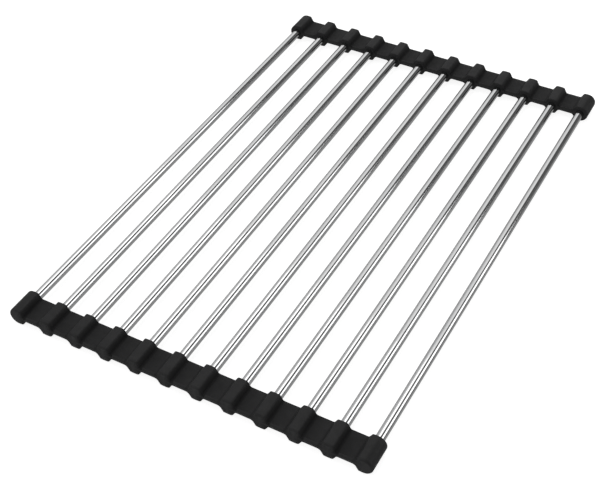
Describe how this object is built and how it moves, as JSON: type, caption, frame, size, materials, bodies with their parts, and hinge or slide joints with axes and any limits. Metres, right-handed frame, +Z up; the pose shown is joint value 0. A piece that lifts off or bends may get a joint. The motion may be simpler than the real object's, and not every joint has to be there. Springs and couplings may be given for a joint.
{
  "type": "roll-up drying rack",
  "caption": "Roll-up over-sink drying rack: parallel round steel tubes held at both ends by flexible black silicone strips that bend between the tubes.",
  "frame": {"origin": "centre of the footprint, on the surface that the rack lies on", "axes": "+X along the silicone strips, from the fixed segment towards the end that rolls up first; +Y along the tubes, from the front strip to the rear strip; +Z up"},
  "size_m": [0.289, 0.436, 0.014],
  "materials": {
    "tube_steel": "polished",
    "strip_silicone": "matte"
  },
  "bodies": {
    "segment_01": {"tube_01": "tube_steel", "front_strip_block_01": "strip_silicone", "rear_strip_block_01": "strip_silicone", "front_strip_web_01": "strip_silicone", "rear_strip_web_01": "strip_silicone"},
    "segment_02": {"tube_02": "tube_steel", "front_strip_block_02": "strip_silicone", "rear_strip_block_02": "strip_silicone", "front_strip_web_02": "strip_silicone", "rear_strip_web_02": "strip_silicone"},
    "segment_03": {"tube_03": "tube_steel", "front_strip_block_03": "strip_silicone", "rear_strip_block_03": "strip_silicone", "front_strip_web_03": "strip_silicone", "rear_strip_web_03": "strip_silicone"},
    "segment_04": {"tube_04": "tube_steel", "front_strip_block_04": "strip_silicone", "rear_strip_block_04": "strip_silicone", "front_strip_web_04": "strip_silicone", "rear_strip_web_04": "strip_silicone"},
    "segment_05": {"tube_05": "tube_steel", "front_strip_block_05": "strip_silicone", "rear_strip_block_05": "strip_silicone", "front_strip_web_05": "strip_silicone", "rear_strip_web_05": "strip_silicone"},
    "segment_06": {"tube_06": "tube_steel", "front_strip_block_06": "strip_silicone", "rear_strip_block_06": "strip_silicone", "front_strip_web_06": "strip_silicone", "rear_strip_web_06": "strip_silicone"},
    "segment_07": {"tube_07": "tube_steel", "front_strip_block_07": "strip_silicone", "rear_strip_block_07": "strip_silicone", "front_strip_web_07": "strip_silicone", "rear_strip_web_07": "strip_silicone"},
    "segment_08": {"tube_08": "tube_steel", "front_strip_block_08": "strip_silicone", "rear_strip_block_08": "strip_silicone", "front_strip_web_08": "strip_silicone", "rear_strip_web_08": "strip_silicone"},
    "segment_09": {"tube_09": "tube_steel", "front_strip_block_09": "strip_silicone", "rear_strip_block_09": "strip_silicone", "front_strip_web_09": "strip_silicone", "rear_strip_web_09": "strip_silicone"},
    "segment_10": {"tube_10": "tube_steel", "front_strip_block_10": "strip_silicone", "rear_strip_block_10": "strip_silicone", "front_strip_web_10": "strip_silicone", "rear_strip_web_10": "strip_silicone"},
    "segment_11": {"tube_11": "tube_steel", "front_strip_block_11": "strip_silicone", "rear_strip_block_11": "strip_silicone", "front_strip_web_11": "strip_silicone", "rear_strip_web_11": "strip_silicone"},
    "segment_12": {"tube_12": "tube_steel", "front_strip_block_12": "strip_silicone", "rear_strip_block_12": "strip_silicone"}
  },
  "joints": [
    {"name": "flex_01", "type": "hinge", "parent": "segment_01", "child": "segment_02", "pos_m": [-0.125, 0, 0.007], "axis": [0, -1, 0], "range_deg": [0, 40], "stiffness_Nm_per_rad": 0.09, "deforming": ["front_strip_web_01", "rear_strip_web_01"]},
    {"name": "flex_02", "type": "hinge", "parent": "segment_02", "child": "segment_03", "pos_m": [-0.1, 0, 0.007], "axis": [0, -1, 0], "range_deg": [0, 40], "stiffness_Nm_per_rad": 0.09, "deforming": ["front_strip_web_02", "rear_strip_web_02"]},
    {"name": "flex_03", "type": "hinge", "parent": "segment_03", "child": "segment_04", "pos_m": [-0.075, 0, 0.007], "axis": [0, -1, 0], "range_deg": [0, 41], "stiffness_Nm_per_rad": 0.09, "deforming": ["front_strip_web_03", "rear_strip_web_03"]},
    {"name": "flex_04", "type": "hinge", "parent": "segment_04", "child": "segment_05", "pos_m": [-0.05, 0, 0.007], "axis": [0, -1, 0], "range_deg": [0, 42], "stiffness_Nm_per_rad": 0.09, "deforming": ["front_strip_web_04", "rear_strip_web_04"]},
    {"name": "flex_05", "type": "hinge", "parent": "segment_05", "child": "segment_06", "pos_m": [-0.025, 0, 0.007], "axis": [0, -1, 0], "range_deg": [0, 45], "stiffness_Nm_per_rad": 0.09, "deforming": ["front_strip_web_05", "rear_strip_web_05"]},
    {"name": "flex_06", "type": "hinge", "parent": "segment_06", "child": "segment_07", "pos_m": [0, 0, 0.007], "axis": [0, -1, 0], "range_deg": [0, 48], "stiffness_Nm_per_rad": 0.09, "deforming": ["front_strip_web_06", "rear_strip_web_06"]},
    {"name": "flex_07", "type": "hinge", "parent": "segment_07", "child": "segment_08", "pos_m": [0.025, 0, 0.007], "axis": [0, -1, 0], "range_deg": [0, 52], "stiffness_Nm_per_rad": 0.09, "deforming": ["front_strip_web_07", "rear_strip_web_07"]},
    {"name": "flex_08", "type": "hinge", "parent": "segment_08", "child": "segment_09", "pos_m": [0.05, 0, 0.007], "axis": [0, -1, 0], "range_deg": [0, 58], "stiffness_Nm_per_rad": 0.09, "deforming": ["front_strip_web_08", "rear_strip_web_08"]},
    {"name": "flex_09", "type": "hinge", "parent": "segment_09", "child": "segment_10", "pos_m": [0.075, 0, 0.007], "axis": [0, -1, 0], "range_deg": [0, 65], "stiffness_Nm_per_rad": 0.09, "deforming": ["front_strip_web_09", "rear_strip_web_09"]},
    {"name": "flex_10", "type": "hinge", "parent": "segment_10", "child": "segment_11", "pos_m": [0.1, 0, 0.007], "axis": [0, -1, 0], "range_deg": [0, 73], "stiffness_Nm_per_rad": 0.09, "deforming": ["front_strip_web_10", "rear_strip_web_10"]},
    {"name": "flex_11", "type": "hinge", "parent": "segment_11", "child": "segment_12", "pos_m": [0.125, 0, 0.007], "axis": [0, -1, 0], "range_deg": [0, 82], "stiffness_Nm_per_rad": 0.09, "deforming": ["front_strip_web_11", "rear_strip_web_11"]}
  ]
}
